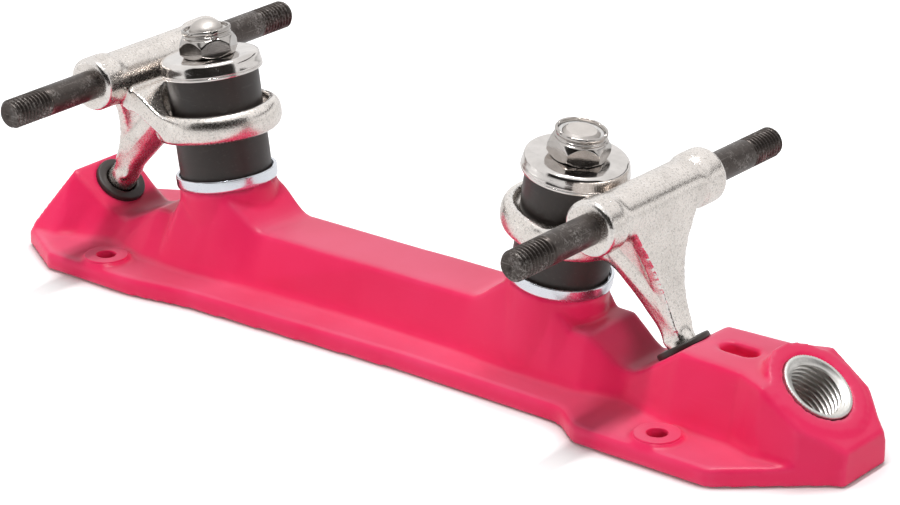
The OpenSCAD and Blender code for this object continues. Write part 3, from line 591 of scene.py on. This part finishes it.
def barrel_eye(co):
    """Presses the eye's outer wall to a round barrel, except on the side where the strap leaves it."""
    facing = np.where(co[:, :1] > 0, 1.0, -1.0) * np.array((1.0, 1.0, 0.0)) + np.array((0.0, 0.0, 1.0))
    off = co * facing - np.array(kingpin_foot)
    up, out = off @ kingpin_line, off @ kingpin_side
    radius = np.hypot(out, off[:, 1])
    a, b = np.clip(radius - eye_inner, 1e-6, None), up - eye_mid
    size = (a / (eye_outer - eye_inner)) ** eye_round + (np.abs(b) / eye_half) ** eye_round
    on_eye = np.clip((0.42 - out / radius) / 0.62, 0, 1) ** 1.4
    on_eye *= (radius > eye_inner) * (radius < eye_reach) * (np.abs(b) < eye_thick)
    shrink = on_eye * (1 / np.maximum(size ** (1 / eye_round), 1) - 1)
    radius_move, up_move = a * shrink, b * shrink
    moved = (out * radius_move / radius)[:, None] * kingpin_side + up_move[:, None] * kingpin_line
    moved[:, 1] += off[:, 1] * radius_move / radius
    return co + moved * facing


axle_middle, plug_r, plug_len = (0.08425, 0, 0.055), 0.0048, 0.0494
hanger_voxel, hanger_passes, hanger_fillet = 0.0004, 6, 40
for end in ("front", "rear"):
    tube = truck_turn[end] @ Matrix.Translation(axle_middle) @ Matrix.Rotation(math.pi / 2, 4, "X")

    def closed_bore(work):
        bmesh.ops.create_cone(work, cap_ends=True, segments=64, radius1=plug_r, radius2=plug_r,
                              depth=plug_len, matrix=tube)

    casting = softened(end + "_hanger", hanger_voxel, hanger_passes, hanger_fillet, closed_bore, arm_lip,
                       lambda co: sloped_web(barrel_eye(co)))
    add_piece(end + "_hanger_casting", casting, cast, [end + "_hanger"], end + "_truck")


# Axles
# Steel rods pressed through the hangers, black oxide finished, rubbed bright in patches, with a fine
# thread and an eased tip at each end for the wheel nuts.
oxide, tree, shader, effects = new_material("black_oxide", fine=1700, coarse=190, lines=75)
tone = colour_mix(tree, effects["Grain"], (0.054, 0.045, 0.041, 1), (0.105, 0.088, 0.080, 1))
patch = math_of(tree, "MULTIPLY", span(tree, effects["Cloud"], 0.48, 0.68),
                span(tree, effects["Grain"], 0.45, 0.62))
worn = math_of(tree, "MAXIMUM", math_of(tree, "MULTIPLY", patch, 0.75),
               math_of(tree, "MULTIPLY", effects["Scuff"], 0.25))
tone = colour_mix(tree, worn, tone, (0.42, 0.39, 0.37, 1))
feed(tree, shader, Base_Color=tone, Roughness=span(tree, effects["Cloud"], 0.25, 0.75, 0.30, 0.46))
shader.inputs["Metallic"].default_value = 0.8
bump(tree, shader, effects["Grain"], strength=0.20, depth=0.00005)
axle_half, axle_r, thread_len, tip_r = 55.0, 4.0, 13.0, 3.22
core_half, core_r = 24.5, 4.25
for end in ("front", "rear"):
    axle_place = truck_turn[end] @ Matrix.Translation(axle_middle)
    parts = []
    for side in (-1, 1):
        outward = axle_place @ Matrix.Rotation(-side * math.pi / 2, 4, "X")
        rod = [(axle_r, y) for y in np.linspace(core_half + 0.5, axle_half - thread_len, 12)]
        shank = lathe([(core_r, 0), (core_r, core_half), (axle_r, core_half + 0.18)] + rod, 65, False)
        cap = lathe([(tip_r, axle_half), (3.0, axle_half), (1.1, axle_half - 0.02), (0.8, axle_half - 0.25),
                     (pole, axle_half - 0.4)], 65, False)
        end_thread = thread(Length=thread_len * 0.001, Pitch=0.00125, Groove=0.00336, Crest=axle_r * 0.001,
                            Runout=0.0016, Tip=tip_r * 0.001, Around=66, Along=140, Finish=oxide)
        thread_place = outward @ Matrix.Translation((0, 0, (axle_half - thread_len) * 0.001))
        parts += [(shank, outward), (cap, outward), (end_thread, thread_place)]
    add_piece(end + "_axle_rod", joined(parts), oxide, [end + "_axle"], end + "_truck")


# Upper cushions
# The second rubber ring of each truck, the same as the lower one, between the eye and the upper cup.
for end in ("front", "rear"):
    add_cushion(end, "_upper", low=eye_high, high=nut_seat - cup_floor)


# Upper cup washers
# Dished washers over the upper cushions, stamped and chrome plated. The top dips a little round the nut,
# the shoulder is round, and the lip is rolled, which shows as a double line above the rubber.
def plating(name, dull, bright):
    """Bright plating, slightly wavy from the polishing, with thin dull scuffs."""
    material, tree, shader, effects = new_material(name, fine=1300, coarse=150, lines=85)
    marks = turning_marks(tree, rings=3.0, spread=0.9)
    tone = colour_mix(tree, span(tree, effects["Cloud"], 0.3, 0.75), dull, bright)
    tone = colour_mix(tree, math_of(tree, "MULTIPLY", effects["Scuff"], 0.20), tone, (0.40, 0.385, 0.37, 1))
    rough = math_of(tree, "ADD", span(tree, effects["Cloud"], 0.3, 0.7, 0.09, 0.19),
                    math_of(tree, "MULTIPLY", effects["Scuff"], 0.12))
    feed(tree, shader, Base_Color=tone, Roughness=rough)
    shader.inputs["Metallic"].default_value = 1.0
    ripple = math_of(tree, "ADD", math_of(tree, "MULTIPLY", effects["Cloud"], 1.4),
                     math_of(tree, "MULTIPLY", marks, 0.35))
    bump(tree, shader, ripple, strength=0.14, depth=0.00022)
    return material


chrome = plating("chrome_plating", (0.62, 0.587, 0.562, 1), (0.80, 0.762, 0.735, 1))
for end in ("front", "rear"):
    top = lathe(rounded([(cup_hole, 0.12, 0.05), (7.9, 0.16, 0.6), (9.4, 0, 1.0), (13.45, 0, 1.5),
                         (13.85, 2.7, 0.5), (14.08, 3.55, 0.3), (13.84, 3.72, 0.1), (14.08, 3.92, 0.2),
                         (14.0, 4.6, 0.25), (13.02, 4.6, 0.2), (13.0, cup_floor, 0.3),
                         (cup_hole, cup_floor, 0.1)], 6))
    over = on_kingpin(end, nut_seat) @ Matrix.Rotation(math.pi, 4, "X")
    add_piece(end + "_upper_cup", joined([(top, over)]), chrome,
              [end + "_upper_cup_washer"], "base")


# Lock nuts
# Plated steel nuts that set how tight the trucks steer. The hexagon is chamfered above and below, a waist
# divides it from the round collar, and six crimps in the collar's top hold the locking ring.
nut_plating = plating("nut_plating", (0.37, 0.347, 0.328, 1), (0.60, 0.565, 0.54, 1))
nut_face, nut_h, nut_hole, collar_top = 7.15, 5.0, 4.85, 7.5
top_chamfer, foot_chamfer = 0.62, 1.0
crimp_half, crimp_in, crimp_down = 0.045, 0.25, 0.22


def hexagonal(turn):
    """Bends turned rings to a double-chamfered hexagon below, and crimps the collar above it."""
    def bent(radius, height, theta):
        off_flat = (theta - math.radians(turn)) % (math.pi / 3) - math.pi / 6
        ceiling = nut_face - 0.05 + top_chamfer * (nut_h - height)
        floor = nut_face - 0.05 + foot_chamfer * height
        hexagon = np.minimum(np.minimum(nut_face / np.cos(off_flat), ceiling), floor)
        dent = np.exp(-(off_flat / crimp_half) ** 2) * np.clip((height - 6.6) / 0.9, 0, 1) * (radius > 6.0)
        return np.where(radius > 7.6, hexagon, radius - crimp_in * dent), height - crimp_down * dent
    return bent


for end, turn in (("front", 46), ("rear", 0)):
    foot = [(nut_hole, 0), (6.6, 0), (7.0, 0)]
    levels = [(9.0, z) for z in np.linspace(0.02, nut_h - 0.02, 26)]
    collar = rounded([(6.75, nut_h + 0.12, 0.15), (6.82, nut_h + 0.62, 0.3), (6.42, nut_h + 0.92, 0.2),
                      (6.46, nut_h + 1.2, 0.2), (6.79, nut_h + 1.5, 0.3), (6.79, collar_top, 0.75),
                      (6.02, collar_top, 0.25), (5.95, nut_h + 1.0, 0.1)], 5)
    nut = lathe(foot + levels + collar + [(nut_hole, nut_h + 1.0)], 180, True, hexagonal(turn))
    obj = add_piece(end + "_nut", joined([(nut, on_kingpin(end, nut_seat))]), nut_plating,
                    [end + "_lock_nut"], "base")
    obj.data.set_sharp_from_angle(angle=math.radians(32))


# Locking rings
# Pale plastic rings crimped into the collars, which grip the bolts' threads. Each is turned with a
# rounded inner lip, and stands a little below the collar's top.
ring_r, ring_h = 5.88, 1.6
ring_plastic, tree, shader, effects = new_material("ring_plastic", fine=1500, coarse=260, lines=120)
tone = colour_mix(tree, effects["Cloud"], (0.60, 0.585, 0.57, 1), (0.78, 0.77, 0.755, 1))
feed(tree, shader, Base_Color=tone, Roughness=span(tree, effects["Grain"], 0.3, 0.7, 0.30, 0.44))
bump(tree, shader, effects["Grain"], strength=0.15, depth=0.00004)
for end in ("front", "rear"):
    ring = lathe(rounded([(nut_hole, 0, 0), (ring_r, 0, 0), (ring_r, ring_h, 0.2),
                          (nut_hole, ring_h, 0.35)], 5))
    place = on_kingpin(end, nut_seat + nut_h)
    add_piece(end + "_ring", joined([(ring, place)]), ring_plastic,
              [end + "_lock_ring"], "base")


# Pivot cups
# Soft black rubber cups pushed into the pivot faces; only the flange shows, a low disc with a rounded rim.
# It closes round the tapered pin that turns in it.
pivot_foot, pivot_lean = (0.0998, 0, 0.0145), math.radians(-36)
flange_r, flange_h, socket_r, socket_deep = 7.28, 1.58, 6.28, 6.2
for end, rise, mouth in (("front", 5.1, 4.5), ("rear", 2.1, 4.55)):
    place = truck_turn[end] @ Matrix.Translation(pivot_foot) @ Matrix.Rotation(pivot_lean, 4, "Y")
    cup = lathe(rounded([(pole, -4.75, 0), (3.4, -3.3, 0.6), (4.74, 0, 0.4), (mouth, rise + 1.3, 0.2),
                         (mouth + 0.5, rise + flange_h, 0.4), (flange_r, rise + flange_h, 0.7),
                         (flange_r, rise + 0.02, 0.2), (socket_r, rise + 0.02, 0),
                         (socket_r, -socket_deep, 0.4), (pole, -socket_deep, 0)], 5), 96, False)
    add_piece(end + "_pivot_rubber", joined([(cup, place)]), rubber, [end + "_pivot_cup"], "base")


# Stage
# A white table top, darker where the plate meets it, partly by real shade and partly by a contact shadow
# painted into its glow, under a soft studio: a narrow strip light overhead that draws the axles' shadows on
# the plate, a soft box on each side of the camera and one behind the object, and two dark cards for the
# metal to reflect, a tall one behind the camera and a strip at the far right.
def area(name, place, target, size, watts, mirrored=True):
    light = bpy.data.lights.new(name, "AREA")
    light.shape, light.size, light.size_y, light.energy = "RECTANGLE", size[0], size[1], watts
    obj = bpy.data.objects.new(name, light)
    bpy.context.collection.objects.link(obj)
    obj.location = place
    obj.rotation_euler = (Vector(target) - Vector(place)).to_track_quat("-Z", "Y").to_euler()
    obj.visible_camera, obj.visible_glossy = False, mirrored


aim = (0, 0, 0.02)
area("overhead", (0.0, 0.0, 1.6), (0, 0, 0), size=(0.08, 1.2), watts=18)
area("left_box", (-1.25, -0.88, 0.26), aim, size=(0.6, 0.46), watts=13.2, mirrored=False)
area("right_box", (1.4, -0.55, 0.46), aim, size=(0.5, 0.6), watts=9, mirrored=False)
area("back_box", (-0.84, 1.05, 0.74), aim, size=(1.6, 0.8), watts=2, mirrored=False)


def seen(tree):
    """One for rays that show a surface: straight to the camera, in a reflection or through glass."""
    path = tree.nodes.new("ShaderNodeLightPath").outputs
    seen_rays = math_of(tree, "ADD", path["Is Camera Ray"], path["Is Glossy Ray"])
    return math_of(tree, "ADD", seen_rays, path["Is Transmission Ray"], clamp=True)


world = bpy.data.worlds.new("studio")
bpy.context.scene.world = world
world.use_nodes = True
tree = world.node_tree
background = tree.nodes["Background"]
background.inputs["Color"].default_value = (1, 1, 1, 1)
fill_light, seen_white = 0.12, 1.0
tree.links.new(span(tree, seen(tree), 0, 1, fill_light, seen_white), background.inputs["Strength"])

floor_half, floor_z = 4, -0.0004
corners = [(x * floor_half, y * floor_half, floor_z) for x, y in ((-1, -1), (1, -1), (1, 1), (-1, 1))]
floor_mesh = bpy.data.meshes.new("floor")
floor_mesh.from_pydata(corners, [], [(0, 1, 2, 3)])
floor = bpy.data.objects.new("floor", floor_mesh)
bpy.context.collection.objects.link(floor)
paper = bpy.data.materials.new("white_paper")
paper.use_nodes = True
tree = paper.node_tree
shader = tree.nodes["Principled BSDF"]
shader.inputs["Base Color"].default_value = (0.80, 0.80, 0.80, 1)
shader.inputs["Roughness"].default_value = 0.9
shader.inputs["Emission Color"].default_value = (1, 1, 1, 1)
# The floor's glow fades near the plate: a painted contact shadow.
contact_reach, contact_shadow_power = 0.022, 2.6
near = put(tree, "ShaderNodeAmbientOcclusion", Distance=contact_reach, props={"samples": 8}).outputs["AO"]
contact_shadow = math_of(tree, "POWER", near, contact_shadow_power)
path = tree.nodes.new("ShaderNodeLightPath").outputs
mirrored = math_of(tree, "ADD", path["Is Glossy Ray"], path["Is Transmission Ray"])
lift = math_of(tree, "ADD", math_of(tree, "MULTIPLY", path["Is Camera Ray"], 0.66),
               math_of(tree, "MULTIPLY", mirrored, 0.16))
tree.links.new(math_of(tree, "MULTIPLY", lift, contact_shadow), shader.inputs["Emission Strength"])
floor_mesh.materials.append(paper)

card_r, card_verts, card_faces = 2.4, [], []
for middle, step, low, high in ((-51, 12, 0.0, 2.7), (60, 8, 0.75, 1.15)):
    first = len(card_verts)
    bow = [math.radians(middle + step * k) for k in range(-5, 6)]
    card_verts += [(card_r * math.cos(a), card_r * math.sin(a), z) for z in (low, high) for a in bow]
    card_faces += [(k, k + 1, k + 12, k + 11) for k in range(first, first + 10)]
card_mesh = bpy.data.meshes.new("dark_card")
card_mesh.from_pydata(card_verts, [], card_faces)
card = bpy.data.objects.new("dark_card", card_mesh)
bpy.context.collection.objects.link(card)
card.visible_camera = False
felt = bpy.data.materials.new("dark_felt")
felt.use_nodes = True
felt_shader = felt.node_tree.nodes["Principled BSDF"]
felt_shader.inputs["Base Color"].default_value = (0.05, 0.045, 0.042, 1)
felt_shader.inputs["Roughness"].default_value = 1.0
card_mesh.materials.append(felt)

camera = bpy.data.cameras.new("camera")
camera.sensor_width, camera.lens = 36, 138
camera.clip_start, camera.clip_end = 0.05, 50
viewer = bpy.data.objects.new("camera", camera)
bpy.context.collection.objects.link(viewer)
camera_place = Matrix.Translation((0.54577, -0.65215, 0.36678))
turn, tilt = math.radians(38.801), math.radians(22.206)
right = Vector((math.cos(turn), math.sin(turn), 0))
ahead = Vector((-math.sin(turn) * math.cos(tilt), math.cos(turn) * math.cos(tilt), -math.sin(tilt)))
up = right.cross(ahead)
viewer.matrix_world = camera_place @ Matrix((right, up, -ahead)).transposed().to_4x4()
bpy.context.scene.camera = viewer
bpy.context.scene.view_settings.view_transform = "Standard"
